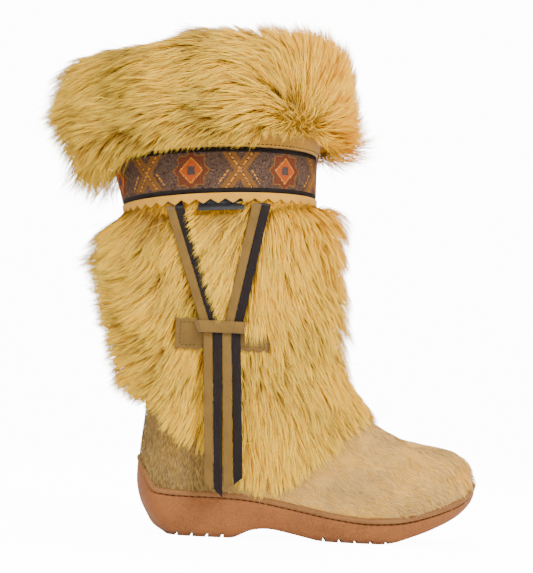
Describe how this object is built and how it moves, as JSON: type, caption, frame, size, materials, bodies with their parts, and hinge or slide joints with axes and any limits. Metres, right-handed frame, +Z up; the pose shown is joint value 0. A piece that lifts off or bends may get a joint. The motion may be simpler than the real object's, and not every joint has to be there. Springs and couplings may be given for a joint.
{
  "type": "winter boot",
  "caption": "Knee-low fur winter boot with folded fur cuff, woven band, leather thongs and a moulded cup sole",
  "frame": {"origin": "middle of the heel's tread block on the floor", "axes": "+X from heel to toe, +Y to the medial side of a right foot, +Z up from the floor; the height is the longest extent"},
  "size_m": [0.3546, 0.2008, 0.4051],
  "materials": {
    "sole": "matte moulded",
    "insole": "felt",
    "upper": "short hair-on hide",
    "long_fur": "long fur",
    "band": "woven",
    "tan_leather": "suede",
    "dark_leather": "smooth",
    "label": "bare woven tab"
  },
  "bodies": {
    "root": {"outsole": "sole", "insole": "insole", "upper": "upper", "shaft_fur": "long_fur", "cuff_fur": "long_fur", "woven_band": "band", "pinked_strip": "tan_leather", "label_tab": "label", "keeper_patch": "tan_leather", "keeper_strap": "tan_leather", "thong_tan_rear": "tan_leather", "thong_dark_rear": "dark_leather", "thong_tan_front": "tan_leather", "thong_dark_front": "dark_leather"}
  },
  "joints": []
}
